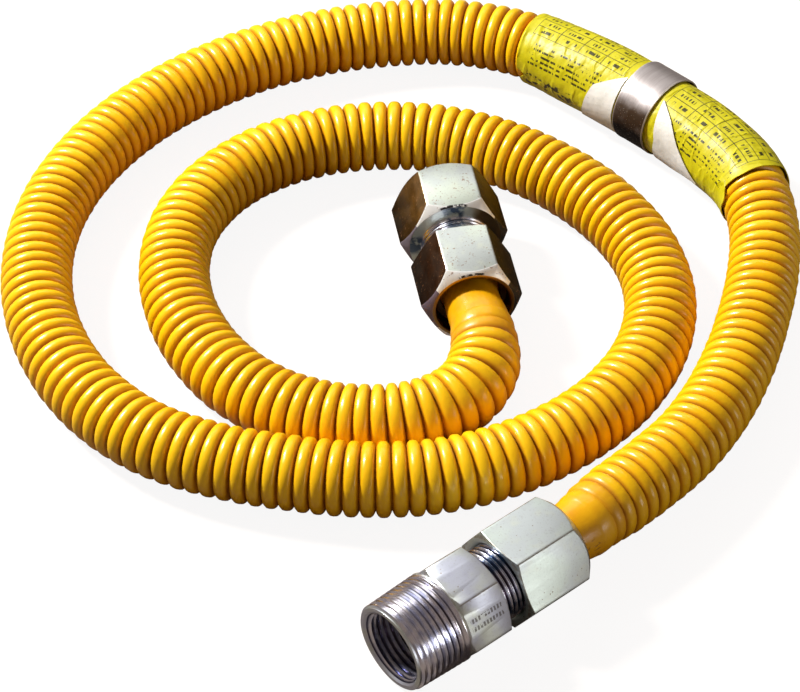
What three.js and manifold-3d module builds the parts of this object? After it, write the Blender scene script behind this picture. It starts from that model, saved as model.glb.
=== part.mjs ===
// Flexible gas hose: a coated corrugated metal tube lying in a loose spiral, with a swivelling flare nut
// and a threaded adapter at each end, and a rating sleeve held round the hose by a metal band.
// Millimetres, +Z up. The hose lies on the plane Z = 0 and the origin is the middle of its footprint.
import * as THREE from 'three';
import { mergeVertices } from 'three/addons/utils/BufferGeometryUtils.js';
import Module from 'manifold-3d';

const wasm = await Module();
wasm.setup();

// ---- corrugated hose
const HOSE_R = 10.6;            // over the coated ribs
const RIB_DEPTH = 1.6;
const RIB_PITCH = 4.3;
const HOSE_SIDES = 10;
const CUFF_R = 8.2;             // smooth sleeve that enters each nut
const CUFF_WALL = 0.9;
const CUFF_LENGTH = 18.5;       // from the flared lip to the first rib
const FADE_RIBS = 4;            // ribs that grow from the cuff to the full size
const BORE_SAG = 1.0;           // how far a facet of the bore may cut across a bend
const FLARE_R = 10.1;           // the lip inside the nut
const LIP_RIM = 0.8;            // thickness of the lip at its edge

// ---- flare nuts
const NUT_AF = 26;              // across the flats
const MALE_NUT_LENGTH = 21.9;
const FEMALE_NUT_LENGTH = 20;
const NUT_GRIP = 12;            // threaded depth, front face to shoulder
const NUT_HOLE_CLEAR = 0.6;     // round the cuff
const NUT_LAND = 1.5;           // straight length of the hole behind the shoulder
const NUT_RECESS_R = 10.9;      // wide mouth at the back
const SEAT_CLEAR = 0.45;        // lip to shoulder, along the axis
const NUT_CHAMFER = 2.1;        // of the corners at the back
const NUT_FRONT_CHAMFER = 0.7;

// ---- threads between nut and adapter
const STUD_R = 10.35;
const THREAD_CLEAR = 0.45;      // radial, stud to nut
const BACK_OFF = 2.4;           // gap left between nose and lip: not screwed home
const NOSE_TIP_R = 6.4;
const PASSAGE_R = 5.4;

// ---- male adapter
const MALE_STUD = 13.9;
const MALE_AF = 25.4;
const MALE_HEX = 14.2;
const MALE_CHAMFER = 1.1;
const PIPE_R = 13.2;            // pipe thread at the hexagon
const PIPE_TIP_R = 12.7;
const PIPE_LENGTH = 16.2;
const PIPE_LEAD = 1.1;          // chamfer at the tip
const MALE_BORE_R = 9.5;        // tapped bore in the end
const MALE_BORE_DEPTH = 14;
const MALE_BORE_LEAD = 0.8;
const MALE_HEX_TURN = 5;        // degrees from a flat on top, as they were left
const MALE_NUT_TURN = 2;

// ---- female adapter
const FEMALE_STUD = 15.4;
const FEMALE_AF = 28.3;
const FEMALE_HEX = 19.8;
const FEMALE_CHAMFER = 2.4;
const FEMALE_BORE_R = 9.6;
const FEMALE_BORE_DEPTH = 15.8;
const FEMALE_BORE_LEAD = 1.3;

// ---- rating sleeve and its band
const SLEEVE_START = 169.5;     // along the hose from its first end
const SLEEVE_LENGTH = 101;
const SLEEVE_GAP = 0.6;         // over the ribs
const SLEEVE_WALL = 0.35;       // at its ends
const SLEEVE_SWELL = 0.75;      // the bunched film adds this in the middle
const SLEEVE_TAPER = 26;
const BAND_START = 215.5;
const BAND_WIDTH = 13;
const BAND_GAP = 0.3;
const BAND_WALL = 0.5;

const ROUND = 20;               // facets of the turned surfaces
const CHAMFER_FACETS = 5;       // on each side of a hexagon
const SLEEVE_SIDES = 2 * HOSE_SIDES;
const SLEEVE_STEP = 12;

// The two ends of the hose: where the lip lies and which way the end points, seen from above.
const MALE_END = { x: 31.7, y: -100.5, heading: 218.9 };
const FEMALE_END = { x: 18.4, y: 6.4, heading: 99.3 };
const MALE_Z = 13.3;            // it rests on a corner of its turned hexagon
const FEMALE_Z = FEMALE_AF / 2;
const REST_Z = HOSE_R + 0.15;

// The route of the hose between its ends, X, Y and the rise above its rest height.
const ROUTE = [
  [51.2, -83.5, 2.4], [58.4, -76.6, 1.93], [67.6, -67.4, 1.14], [77.5, -56, 0.32],
  [87.2, -40.8, 0], [95.1, -23.5, 0], [101, -5.5, 0.01], [105.5, 13, 0.29],
  [107.6, 31.8, 0.85], [105.2, 50.5, 1.55], [95.4, 67.8, 2.2], [82.9, 82.4, 2.56],
  [70, 95.3, 2.53], [56.4, 107.8, 2.11], [40.2, 120.6, 1.38], [17.9, 128.7, 0.54],
  [-6.1, 128.9, 0.04], [-29.5, 123.9, 0], [-51.4, 114.3, 0], [-70.3, 101.2, 0],
  [-86.3, 84.8, 0], [-98.2, 66.3, 0], [-105.9, 45.7, 0], [-108.7, 23.9, 0],
  [-106.5, 2.1, 0], [-99.3, -18.6, 0], [-88, -36.2, 0], [-72.5, -50.3, 0],
  [-53.6, -59.2, 0], [-33.2, -64.5, 0], [-12.4, -67.6, 0], [8.6, -66.7, 0],
  [28.6, -60.5, 0], [45.9, -50.4, 0], [60.1, -36.5, 0], [70.1, -19.2, 0],
  [74.4, 0.3, 0], [72.1, 20, 0], [63.3, 39, 0], [49.9, 55.2, 0],
  [33.3, 67.8, 0], [14.9, 75.7, 0], [-4.8, 78.4, 0], [-24.6, 75.8, 0],
  [-42.8, 67.8, 0], [-56.7, 54.9, 0], [-65.4, 38.2, 0], [-68, 19.4, 0],
  [-65.1, 0.7, 0], [-58, -15.8, 0], [-47.8, -29.3, 0], [-35.2, -38.8, 0],
  [-22.3, -44, 0.17], [-9.5, -46.1, 0.69], [1.5, -45.4, 1.32], [9.9, -42.5, 1.89],
  [16.3, -37.8, 2.38], [20.6, -31.3, 2.81], [22.5, -23.6, 3.14], [22.4, -15.7, 3.34],
  [21.4, -8.7, 3.4],
];

const steel = (name, color) => new THREE.MeshStandardMaterial({ name, color, roughness: 0.3, metalness: 1 });
const coat = new THREE.MeshStandardMaterial({ name: 'coat', color: 0xf2b416, roughness: 0.3, metalness: 0 });
const zinc = steel('zinc', 0xc9cdc4);
const bandMetal = new THREE.MeshStandardMaterial({ name: 'band', color: 0x9b918f, roughness: 0.45, metalness: 1 });
const label = new THREE.MeshStandardMaterial({ name: 'label', color: 0xe8e234, roughness: 0.45, metalness: 0 });

// A mesh's geometry with only its shared positions, and no triangle that has shrunk to a line.
function shared(geometry) {
  const plain = geometry.clone();
  plain.deleteAttribute('normal');
  plain.deleteAttribute('uv');
  const merged = mergeVertices(plain, 1e-4);
  const index = merged.getIndex().array;
  const kept = [];
  for (let i = 0; i < index.length; i += 3) {
    const [a, b, c] = [index[i], index[i + 1], index[i + 2]];
    if (a !== b && b !== c && c !== a) kept.push(a, b, c);
  }
  merged.setIndex(kept);
  return merged;
}

function solid(geometry) {
  const g = shared(geometry);
  const vertProperties = new Float32Array(g.getAttribute('position').array);
  const triVerts = new Uint32Array(g.getIndex().array);
  return new wasm.Manifold(new wasm.Mesh({ numProp: 3, vertProperties, triVerts }));
}

function geometryOf(body) {
  const m = body.getMesh();
  const g = new THREE.BufferGeometry();
  g.setAttribute('position', new THREE.BufferAttribute(new Float32Array(m.vertProperties), 3));
  g.setIndex(new THREE.BufferAttribute(new Uint32Array(m.triVerts), 1));
  g.computeVertexNormals();
  return g;
}

// A turned solid about +Z from a profile of [radius, z] that rises along the outside.
function turned(profile, sides = ROUND) {
  const points = profile.map(([r, z]) => new THREE.Vector2(r, z));
  const lathe = new THREE.LatheGeometry(points, sides);
  lathe.rotateX(Math.PI / 2);
  lathe.rotateZ(Math.PI);
  return solid(lathe);
}

// A hexagonal bar along +Z with a flat on top, its corners turned down at both ends.
function hexBar(acrossFlats, zBack, zFront, backChamfer, frontChamfer) {
  const corner = acrossFlats / Math.sqrt(3);
  const outline = new THREE.Shape();
  for (let i = 0; i < 6; i++) {
    const a = (i * Math.PI) / 3;
    if (i === 0) outline.moveTo(corner * Math.cos(a), corner * Math.sin(a));
    else outline.lineTo(corner * Math.cos(a), corner * Math.sin(a));
  }
  outline.closePath();
  const bar = new THREE.ExtrudeGeometry(outline, { depth: zFront - zBack, bevelEnabled: false });
  bar.translate(0, 0, zBack);
  const faceR = acrossFlats / 2 - 0.25;
  const over = corner + 1;
  const [backRun, frontRun] = [backChamfer, frontChamfer].map((c) => ((over - faceR) * c) / (corner - faceR));
  const turning = turned([
    [0, zBack], [faceR, zBack], [over, zBack + backRun], [over, zFront - frontRun], [faceR, zFront], [0, zFront],
  ], 6 * CHAMFER_FACETS);
  return solid(bar).intersect(turning);
}

// ---- the hose: a revolved profile bent along the route
const radians = THREE.MathUtils.degToRad;
const heading = (end) => new THREE.Vector3(Math.cos(radians(end.heading)), Math.sin(radians(end.heading)), 0);
const lipAt = (end, z) => new THREE.Vector3(end.x, end.y, z);
const maleLip = lipAt(MALE_END, MALE_Z);
const femaleLip = lipAt(FEMALE_END, FEMALE_Z);
const inside = (lip, end, distance) => lip.clone().addScaledVector(heading(end), -distance);

const maleRun = [0, 7, 14, 19].map((d) => inside(maleLip, MALE_END, d));
const femaleRun = [10, 5, 0].map((d) => inside(femaleLip, FEMALE_END, d));
const freeRun = ROUTE.map(([x, y, rise]) => new THREE.Vector3(x, y, REST_Z + rise));
const route = new THREE.CatmullRomCurve3([...maleRun, ...freeRun, ...femaleRun], false, 'centripetal');
route.arcLengthDivisions = 6000;
const HOSE_LENGTH = route.getLength();

const up = new THREE.Vector3(0, 0, 1);

// Profile points are [radius, distance along the hose], and close on themselves.
function bentRevolve(profile, sides) {
  const points = profile.map(([r, s]) => new THREE.Vector2(r, s));
  points.push(points[0].clone());
  const g = shared(new THREE.LatheGeometry(points, sides));
  const position = g.getAttribute('position');
  for (let i = 0; i < position.count; i++) {
    const u = Math.min(Math.max(position.getY(i) / HOSE_LENGTH, 0), 1);
    const forward = route.getTangentAt(u);
    const side = new THREE.Vector3().crossVectors(forward, up).normalize();
    const above = new THREE.Vector3().crossVectors(side, forward);
    const p = route.getPointAt(u);
    p.addScaledVector(side, position.getX(i));
    p.addScaledVector(above, position.getZ(i));
    position.setXYZ(i, p.x, p.y, p.z);
  }
  g.computeVertexNormals();
  return g;
}

// Where the bore's rings lie: far apart on straight stretches and close together in tight bends.
function boreStations(from, to) {
  const at = (s) => route.getPointAt(s / HOSE_LENGTH);
  const stations = [from];
  let start = from;
  for (let s = from + 2 * RIB_PITCH; s < to - RIB_PITCH; s += RIB_PITCH) {
    const middle = at(start).add(at(s)).multiplyScalar(0.5);
    if (middle.distanceTo(at((start + s) / 2)) > BORE_SAG) {
      start = s - RIB_PITCH;
      stations.push(start);
    }
  }
  stations.push(to);
  return stations;
}

function hoseGeometry() {
  const boreR = CUFF_R - CUFF_WALL;
  const coneEnd = LIP_RIM + (FLARE_R - CUFF_R);
  const flareIn = FLARE_R - LIP_RIM - boreR;
  const ribbed = HOSE_LENGTH - 2 * CUFF_LENGTH;
  const ribs = Math.round(ribbed / RIB_PITCH);
  const pitch = ribbed / ribs;
  const outer = [[FLARE_R, 0], [FLARE_R, LIP_RIM], [CUFF_R, coneEnd]];
  for (let i = 0; i < ribs; i++) {
    const fromEnd = Math.min(i, ribs - 1 - i);
    const grown = Math.min((fromEnd + 2) / (FADE_RIBS + 1), 1);
    const crest = CUFF_R + (HOSE_R - CUFF_R) * grown;
    const root = CUFF_R + (HOSE_R - RIB_DEPTH - CUFF_R) * grown;
    const start = CUFF_LENGTH + i * pitch;
    outer.push([root, start]);
    outer.push([crest, start + pitch / 2]);
  }
  outer.push([CUFF_R + 0.3, HOSE_LENGTH - CUFF_LENGTH]);
  outer.push([CUFF_R, HOSE_LENGTH - coneEnd], [FLARE_R, HOSE_LENGTH - LIP_RIM], [FLARE_R, HOSE_LENGTH]);
  const inner = [[FLARE_R - LIP_RIM, HOSE_LENGTH]];
  for (const s of boreStations(flareIn, HOSE_LENGTH - flareIn).reverse()) inner.push([boreR, s]);
  inner.push([FLARE_R - LIP_RIM, 0]);
  return bentRevolve([...outer, ...inner], HOSE_SIDES);
}

// A ring round the hose. Its wall is a function of the distance from its start.
function ringGeometry(innerR, wall, start, length, step) {
  const steps = Math.max(1, Math.round(length / step));
  const outer = [];
  const inner = [];
  for (let i = 0; i <= steps; i++) {
    const along = (length * i) / steps;
    outer.push([innerR + wall(along), start + along]);
    inner.push([innerR, start + length - along]);
  }
  return bentRevolve([...outer, ...inner], SLEEVE_SIDES);
}

function sleeveWall(along) {
  const fromEnd = Math.min(along, SLEEVE_LENGTH - along);
  return SLEEVE_WALL + SLEEVE_SWELL * Math.min(fromEnd / SLEEVE_TAPER, 1);
}

// ---- fittings, each about its own +Z, with z = 0 at the hose's lip and +Z pointing out of the hose
const SHOULDER = FLARE_R + LIP_RIM + SEAT_CLEAR;      // radius plus depth of the nut's 45 degree shoulder
const NUT_BORE_R = STUD_R + THREAD_CLEAR;
const NUT_HOLE_R = CUFF_R + NUT_HOLE_CLEAR;
const NUT_FRONT = NUT_GRIP - (SHOULDER - NUT_BORE_R);
const NOSE = FLARE_R - LIP_RIM - BACK_OFF;            // radius of the nose cone at z = 0
const NOSE_BASE = STUD_R - NOSE;
const NOSE_TIP = NOSE_TIP_R - NOSE;

function nutGeometry(length) {
  const back = NUT_FRONT - length;
  const shoulderFront = -(SHOULDER - NUT_BORE_R);
  const shoulderBack = -(SHOULDER - NUT_HOLE_R);
  const recess = shoulderBack - NUT_LAND;
  const hollow = turned([
    [0, back - 1], [NUT_RECESS_R, back - 1], [NUT_RECESS_R, recess], [NUT_HOLE_R, recess],
    [NUT_HOLE_R, shoulderBack], [NUT_BORE_R, shoulderFront], [NUT_BORE_R, NUT_FRONT - 0.9],
    [NUT_BORE_R + 1, NUT_FRONT + 0.1], [NUT_BORE_R + 1, NUT_FRONT + 1], [0, NUT_FRONT + 1],
  ]);
  return geometryOf(hexBar(NUT_AF, back, NUT_FRONT, NUT_CHAMFER, NUT_FRONT_CHAMFER).subtract(hollow));
}

function stud(length) {
  const hex = NOSE_BASE + length;
  return turned([
    [0, NOSE_TIP], [NOSE_TIP_R, NOSE_TIP], [STUD_R, NOSE_BASE], [STUD_R, hex + 0.5], [0, hex + 0.5],
  ]);
}

function maleAdapterGeometry() {
  const hexBack = NOSE_BASE + MALE_STUD;
  const hexFront = hexBack + MALE_HEX;
  const tip = hexFront + PIPE_LENGTH;
  const pipe = turned([
    [0, hexFront - 1], [PIPE_R, hexFront - 1], [PIPE_R, hexFront], [PIPE_TIP_R, tip - PIPE_LEAD],
    [PIPE_TIP_R - PIPE_LEAD, tip], [0, tip],
  ], 32);
  const hollow = turned([
    [0, NOSE_TIP - 1], [PASSAGE_R, NOSE_TIP - 1], [PASSAGE_R, tip - MALE_BORE_DEPTH - 2],
    [MALE_BORE_R, tip - MALE_BORE_DEPTH], [MALE_BORE_R, tip - MALE_BORE_LEAD],
    [MALE_BORE_R + MALE_BORE_LEAD, tip], [MALE_BORE_R + MALE_BORE_LEAD, tip + 1], [0, tip + 1],
  ]);
  const body = hexBar(MALE_AF, hexBack, hexFront, MALE_CHAMFER, MALE_CHAMFER).add(stud(MALE_STUD)).add(pipe);
  return geometryOf(body.subtract(hollow));
}

function femaleAdapterGeometry() {
  const hexBack = NOSE_BASE + FEMALE_STUD;
  const face = hexBack + FEMALE_HEX;
  const hollow = turned([
    [0, NOSE_TIP - 1], [PASSAGE_R, NOSE_TIP - 1], [PASSAGE_R, face - FEMALE_BORE_DEPTH - 2],
    [FEMALE_BORE_R, face - FEMALE_BORE_DEPTH], [FEMALE_BORE_R, face - FEMALE_BORE_LEAD],
    [FEMALE_BORE_R + FEMALE_BORE_LEAD, face], [FEMALE_BORE_R + FEMALE_BORE_LEAD, face + 1], [0, face + 1],
  ]);
  const body = hexBar(FEMALE_AF, hexBack, face, FEMALE_CHAMFER, FEMALE_CHAMFER).add(stud(FEMALE_STUD));
  return geometryOf(body.subtract(hollow));
}

function named(name, geometry, material) {
  const mesh = new THREE.Mesh(geometry, material);
  mesh.name = name;
  return mesh;
}

// A frame at one end of the hose: +Z points out of the hose and +Y points up.
function endGroup(lip, end) {
  const out = heading(end);
  const across = new THREE.Vector3().crossVectors(up, out);
  const group = new THREE.Group();
  group.matrix.makeBasis(across, up, out);
  group.matrix.setPosition(lip);
  group.matrixAutoUpdate = false;
  return group;
}

const hose = new THREE.Group();
const sleeveR = HOSE_R + SLEEVE_GAP;
const bandR = sleeveR + SLEEVE_WALL + SLEEVE_SWELL + BAND_GAP;
hose.add(named('corrugated_hose', hoseGeometry(), coat));
hose.add(named('rating_sleeve', ringGeometry(sleeveR, sleeveWall, SLEEVE_START, SLEEVE_LENGTH, SLEEVE_STEP), label));
hose.add(named('sleeve_band', ringGeometry(bandR, () => BAND_WALL, BAND_START, BAND_WIDTH, BAND_WIDTH), bandMetal));

const maleEnd = endGroup(maleLip, MALE_END);
const maleNut = named('male_end_nut', nutGeometry(MALE_NUT_LENGTH), zinc);
maleNut.rotation.z = radians(-MALE_NUT_TURN);
const maleAdapter = named('male_adapter', maleAdapterGeometry(), zinc);
maleAdapter.rotation.z = radians(-MALE_HEX_TURN);
maleEnd.add(maleNut, maleAdapter);
hose.add(maleEnd);

const femaleEnd = endGroup(femaleLip, FEMALE_END);
femaleEnd.add(named('female_end_nut', nutGeometry(FEMALE_NUT_LENGTH), zinc));
femaleEnd.add(named('female_adapter', femaleAdapterGeometry(), zinc));
hose.add(femaleEnd);

export default hose;
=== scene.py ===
"""Looks of a flexible gas hose in a loose spiral: coat, fittings, sleeve and band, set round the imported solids.

Shapes are worked out in millimetres, straight along the hose or about a fitting's own axis, then put in place.
"""

import math

import bmesh
import bpy
import numpy as np
from mathutils import Matrix, Vector


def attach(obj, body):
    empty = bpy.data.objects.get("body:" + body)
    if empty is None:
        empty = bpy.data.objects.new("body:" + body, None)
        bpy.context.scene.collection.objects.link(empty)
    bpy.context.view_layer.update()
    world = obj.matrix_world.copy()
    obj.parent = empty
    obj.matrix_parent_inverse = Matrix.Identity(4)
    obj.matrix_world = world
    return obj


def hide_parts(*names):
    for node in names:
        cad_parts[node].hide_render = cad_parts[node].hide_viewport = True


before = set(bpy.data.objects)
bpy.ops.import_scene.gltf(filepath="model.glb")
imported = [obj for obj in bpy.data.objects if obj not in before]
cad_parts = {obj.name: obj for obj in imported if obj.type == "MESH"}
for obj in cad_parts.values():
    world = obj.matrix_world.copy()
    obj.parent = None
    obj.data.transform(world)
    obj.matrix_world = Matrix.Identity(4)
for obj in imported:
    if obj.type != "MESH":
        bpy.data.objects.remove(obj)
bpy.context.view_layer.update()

MM = 0.001
UP = np.array([0.0, 0.0, 1.0])

# ---------------------------------------------------------------- camera

CAMERA_AT = np.array([-1.6, -625.63, 603.77]) * MM
CAMERA_AIM = np.array([-1.6, -4.2, 0.0]) * MM
CAMERA_ROLL = math.radians(-0.906)
LENS, SENSOR = 133.23, 36.0


def set_camera():
    ahead = (CAMERA_AIM - CAMERA_AT) / np.linalg.norm(CAMERA_AIM - CAMERA_AT)
    level = np.array([1.0, 0.0, 0.0])
    rise = np.cross(level, ahead)
    right = math.cos(CAMERA_ROLL) * level + math.sin(CAMERA_ROLL) * rise
    top = -math.sin(CAMERA_ROLL) * level + math.cos(CAMERA_ROLL) * rise
    data = bpy.data.cameras.new("view_from_above")
    data.lens, data.sensor_width = LENS, SENSOR
    data.clip_start, data.clip_end = 0.05, 20.0
    camera = bpy.data.objects.new("view_from_above", data)
    turn = Matrix((right, top, -ahead)).transposed()
    camera.matrix_world = Matrix.Translation(CAMERA_AT) @ turn.to_4x4()
    bpy.context.scene.collection.objects.link(camera)
    bpy.context.scene.camera = camera


set_camera()

# ---------------------------------------------------------------- the hose's route

MALE_LIP = np.array([31.7, -100.5, 13.3])
FEMALE_LIP = np.array([18.4, 6.4, 14.15])
MALE_HEADING = math.radians(218.9)
FEMALE_HEADING = math.radians(99.3)
REST_HEIGHT = 10.75
SPAN_STEPS = 40

# X, Y and the rise above the rest height, in metres
ROUTE = [
    (0.0512, -0.0835, 0.0024), (0.0584, -0.0766, 0.00193), (0.0676, -0.0674, 0.00114),
    (0.0775, -0.056, 0.00032), (0.0872, -0.0408, 0), (0.0951, -0.0235, 0),
    (0.101, -0.0055, 0.00001), (0.1055, 0.013, 0.00029), (0.1076, 0.0318, 0.00085),
    (0.1052, 0.0505, 0.00155), (0.0954, 0.0678, 0.0022), (0.0829, 0.0824, 0.00256),
    (0.07, 0.0953, 0.00253), (0.0564, 0.1078, 0.00211), (0.0402, 0.1206, 0.00138),
    (0.0179, 0.1287, 0.00054), (-0.0061, 0.1289, 0.00004), (-0.0295, 0.1239, 0),
    (-0.0514, 0.1143, 0), (-0.0703, 0.1012, 0), (-0.0863, 0.0848, 0),
    (-0.0982, 0.0663, 0), (-0.1059, 0.0457, 0), (-0.1087, 0.0239, 0),
    (-0.1065, 0.0021, 0), (-0.0993, -0.0186, 0), (-0.088, -0.0362, 0),
    (-0.0725, -0.0503, 0), (-0.0536, -0.0592, 0), (-0.0332, -0.0645, 0),
    (-0.0124, -0.0676, 0), (0.0086, -0.0667, 0), (0.0286, -0.0605, 0),
    (0.0459, -0.0504, 0), (0.0601, -0.0365, 0), (0.0701, -0.0192, 0),
    (0.0744, 0.0003, 0), (0.0721, 0.02, 0), (0.0633, 0.039, 0),
    (0.0499, 0.0552, 0), (0.0333, 0.0678, 0), (0.0149, 0.0757, 0),
    (-0.0048, 0.0784, 0), (-0.0246, 0.0758, 0), (-0.0428, 0.0678, 0),
    (-0.0567, 0.0549, 0), (-0.0654, 0.0382, 0), (-0.068, 0.0194, 0),
    (-0.0651, 0.0007, 0), (-0.058, -0.0158, 0), (-0.0478, -0.0293, 0),
    (-0.0352, -0.0388, 0), (-0.0223, -0.044, 0.00017), (-0.0095, -0.0461, 0.00069),
    (0.0015, -0.0454, 0.00132), (0.0099, -0.0425, 0.00189), (0.0163, -0.0378, 0.00238),
    (0.0206, -0.0313, 0.00281), (0.0225, -0.0236, 0.00314), (0.0224, -0.0157, 0.00334),
    (0.0214, -0.0087, 0.0034),
]


def heading(angle):
    return np.array([math.cos(angle), math.sin(angle), 0.0])


def route_points():
    male = [MALE_LIP - d * heading(MALE_HEADING) for d in (0, 7, 14, 19)]
    female = [FEMALE_LIP - d * heading(FEMALE_HEADING) for d in (10, 5, 0)]
    free = [np.array([x, y, z]) / MM + REST_HEIGHT * UP for x, y, z in ROUTE]
    return np.array(male + free + female)


def smooth_line(points):
    """A centripetal curve through the points, as close-set points."""
    points = np.vstack([2 * points[0] - points[1], points, 2 * points[-1] - points[-2]])
    line = []
    for i in range(1, len(points) - 2):
        a, b, c, d = points[i - 1 : i + 3]
        ab, bc, cd = (math.sqrt(np.linalg.norm(q - p)) for p, q in ((a, b), (b, c), (c, d)))
        leave = ((b - a) / ab - (c - a) / (ab + bc) + (c - b) / bc) * bc
        arrive = ((c - b) / bc - (d - b) / (bc + cd) + (d - c) / cd) * bc
        t = np.linspace(0, 1, SPAN_STEPS, endpoint=False)[:, None]
        square = 3 * (c - b) - 2 * leave - arrive
        cube = 2 * (b - c) + leave + arrive
        line.append(b + leave * t + square * t**2 + cube * t**3)
    line.append(points[-2][None])
    return np.vstack(line)


LINE = smooth_line(route_points())
RUN = np.concatenate([[0], np.cumsum(np.linalg.norm(np.diff(LINE, axis=0), axis=1))])
AHEAD = np.gradient(LINE, axis=0)
AHEAD /= np.linalg.norm(AHEAD, axis=1)[:, None]
HOSE_LENGTH = RUN[-1]


def sample(table, run):
    return np.stack([np.interp(run, RUN, table[:, k]) for k in range(3)], -1)


def along_hose(points):
    """Straight points (left, above, run) laid along the hose, in metres."""
    run = points[:, 2]
    forward = sample(AHEAD, run)
    forward /= np.linalg.norm(forward, axis=1)[:, None]
    left = np.cross(UP, forward)
    left /= np.linalg.norm(left, axis=1)[:, None]
    above = np.cross(forward, left)
    centre = sample(LINE, run)
    return (centre + left * points[:, :1] + above * points[:, 1:2]) * MM


def about_end(lip, angle, turn=0.0):
    """A placing for fittings built with +Z out of the hose and +Y up. The turn is in degrees."""
    out = heading(angle)
    across = np.cross(UP, out)
    axes = np.stack([across, UP, out])
    c, s = math.cos(math.radians(turn)), math.sin(math.radians(turn))
    spun = np.array([[c, s, 0], [-s, c, 0], [0, 0, 1]])
    return lambda points: (lip + (points @ spun) @ axes) * MM


# ---------------------------------------------------------------- forms

# an edge that turns more than this stays sharp
SHARP = math.radians(34)
# how close points merge, in millimetres: on most forms, and where the turns of a thread meet
WELD, THREAD_WELD = 1e-4, 1e-3
SPIN_STEPS = 60


def ring_columns(angles, rows, closed):
    """A form of rings one after the other, whose rows give a radius and a height for every column."""
    bm = bmesh.new()
    column = bm.verts.layers.int.new("column")
    bmesh.ops.create_circle(bm, cap_ends=False, segments=len(angles), radius=1.0)
    for i, v in enumerate(bm.verts):
        v[column] = i

    def lay(verts, row):
        for v in verts:
            r, z = row[v[column]]
            a = angles[v[column]]
            v.co = (r * math.cos(a), r * math.sin(a), z)

    lay(bm.verts, rows[0])
    first = last = list(bm.edges)
    for row in rows[1:]:
        made = bmesh.ops.extrude_edge_only(bm, edges=last)["geom"]
        last = [e for e in made if isinstance(e, bmesh.types.BMEdge)]
        lay([v for v in made if isinstance(v, bmesh.types.BMVert)], row)
    if closed:
        bmesh.ops.bridge_loops(bm, edges=first + last)
    else:
        bmesh.ops.holes_fill(bm, edges=[e for e in bm.edges if e.is_boundary], sides=0)
    bmesh.ops.recalc_face_normals(bm, faces=bm.faces)
    return bm


def softened(rows, width, closed):
    """The same rows with each corner between them broken by a narrow flat."""
    out = []
    count = len(rows)
    for i, row in enumerate(rows):
        if not closed and i in (0, count - 1):
            out.append(row)
            continue
        for other in (rows[i - 1], rows[(i + 1) % count]):
            step = other - row
            size = np.linalg.norm(step, axis=1, keepdims=True)
            out.append(row + step * np.minimum(width / np.maximum(size, 1e-9), 0.45))
    return out


# columns of a hexagon's rings: six sectors, closer set at their corners, and how far out each column lies
SECTOR = [-30, -29.2, -27.5, -20, -10, 0, 10, 20, 27.5, 29.2]
BLUNT_CORNER = 1.148
HEX_COLUMNS = np.radians([90 + 60 * k + a for k in range(6) for a in SECTOR])
HEX_SECANT = np.array([min(1 / math.cos(math.radians(a)), BLUNT_CORNER) for _ in range(6) for a in SECTOR])
# how far the edge of a turned end face lies inside the flats, and the width of a broken edge
RIM = 0.25
BROKEN_EDGE = 0.14


def round_row(r, z):
    return np.column_stack([np.full(len(HEX_COLUMNS), float(r)), np.full(len(HEX_COLUMNS), float(z))])


def hex_rows(across, back, front, back_chamfer, front_chamfer, back_face=RIM):
    """Outer rows of a hexagon, from its back face to its front face, with its corners turned down.

    back_face says how far the edge of the back face lies inside the flats.
    """
    half = across / 2
    r = half * HEX_SECANT
    corner = 2 * half / math.sqrt(3)
    behind, ahead = ((r - half + inset) / (corner - half + inset) for inset in (back_face, RIM))
    return [
        round_row(half - back_face, back),
        np.column_stack([r, back + behind * back_chamfer]),
        np.column_stack([r, front - ahead * front_chamfer]),
        round_row(half - RIM, front),
    ]


def spin_round(bm, chain, steps, closed=False, lead=0.0):
    """Spins a chain of vertices once about +Z. lead says how far it climbs in the turn."""
    edges = [bm.edges.new(pair) for pair in zip(chain, chain[1:] + chain[:1] if closed else chain[1:])]
    bmesh.ops.spin(
        bm, geom=chain + edges, cent=(0, 0, 0), axis=(0, 0, 1), dvec=(0, 0, lead / steps),
        angle=2 * math.pi, steps=steps, use_merge=not lead,
    )


def turned(profile):
    """A solid turned about +Z. The profile starts and ends on the axis."""
    bm = bmesh.new()
    spin_round(bm, [bm.verts.new((r, 0, z)) for r, z in profile], SPIN_STEPS)
    bmesh.ops.remove_doubles(bm, verts=bm.verts, dist=WELD)
    bmesh.ops.recalc_face_normals(bm, faces=bm.faces)
    return bm


# share of a turn's pitch, share of the thread's depth
THREAD_FORM = [
    (0.0, 0.0), (0.06, 0.02), (0.34, 0.86), (0.42, 0.97), (0.5, 1.0), (0.58, 0.97), (0.66, 0.86), (0.94, 0.02),
]
# turns beyond each end of a threaded rod, which are cut off
SPARE_TURNS = 2


def thread_rod(crest, depth, pitch, start, end, lowest, highest):
    """A threaded rod along +Z. lowest and highest give the smallest and the largest radius at a height."""
    bm = bmesh.new()
    turns = range(-SPARE_TURNS, math.ceil((end - start) / pitch) + SPARE_TURNS)
    chain = [
        bm.verts.new((crest - depth + depth * share, 0, start + (turn + part) * pitch))
        for turn in turns
        for part, share in THREAD_FORM
    ]
    spin_round(bm, chain, SPIN_STEPS, lead=pitch)
    bmesh.ops.remove_doubles(bm, verts=bm.verts, dist=THREAD_WELD)
    for height, way in ((start, -1), (end, 1)):
        whole = [*bm.verts, *bm.edges, *bm.faces]
        bmesh.ops.bisect_plane(bm, geom=whole, plane_co=(0, 0, height), plane_no=(0, 0, way), clear_outer=True)
    bmesh.ops.holes_fill(bm, edges=[e for e in bm.edges if e.is_boundary], sides=0)
    for v in bm.verts:
        r = math.hypot(v.co.x, v.co.y)
        if r > 0:
            wanted = min(max(r, lowest(v.co.z)), highest(v.co.z))
            v.co.x, v.co.y = v.co.x * wanted / r, v.co.y * wanted / r
    bmesh.ops.recalc_face_normals(bm, faces=bm.faces)
    return bm


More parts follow.
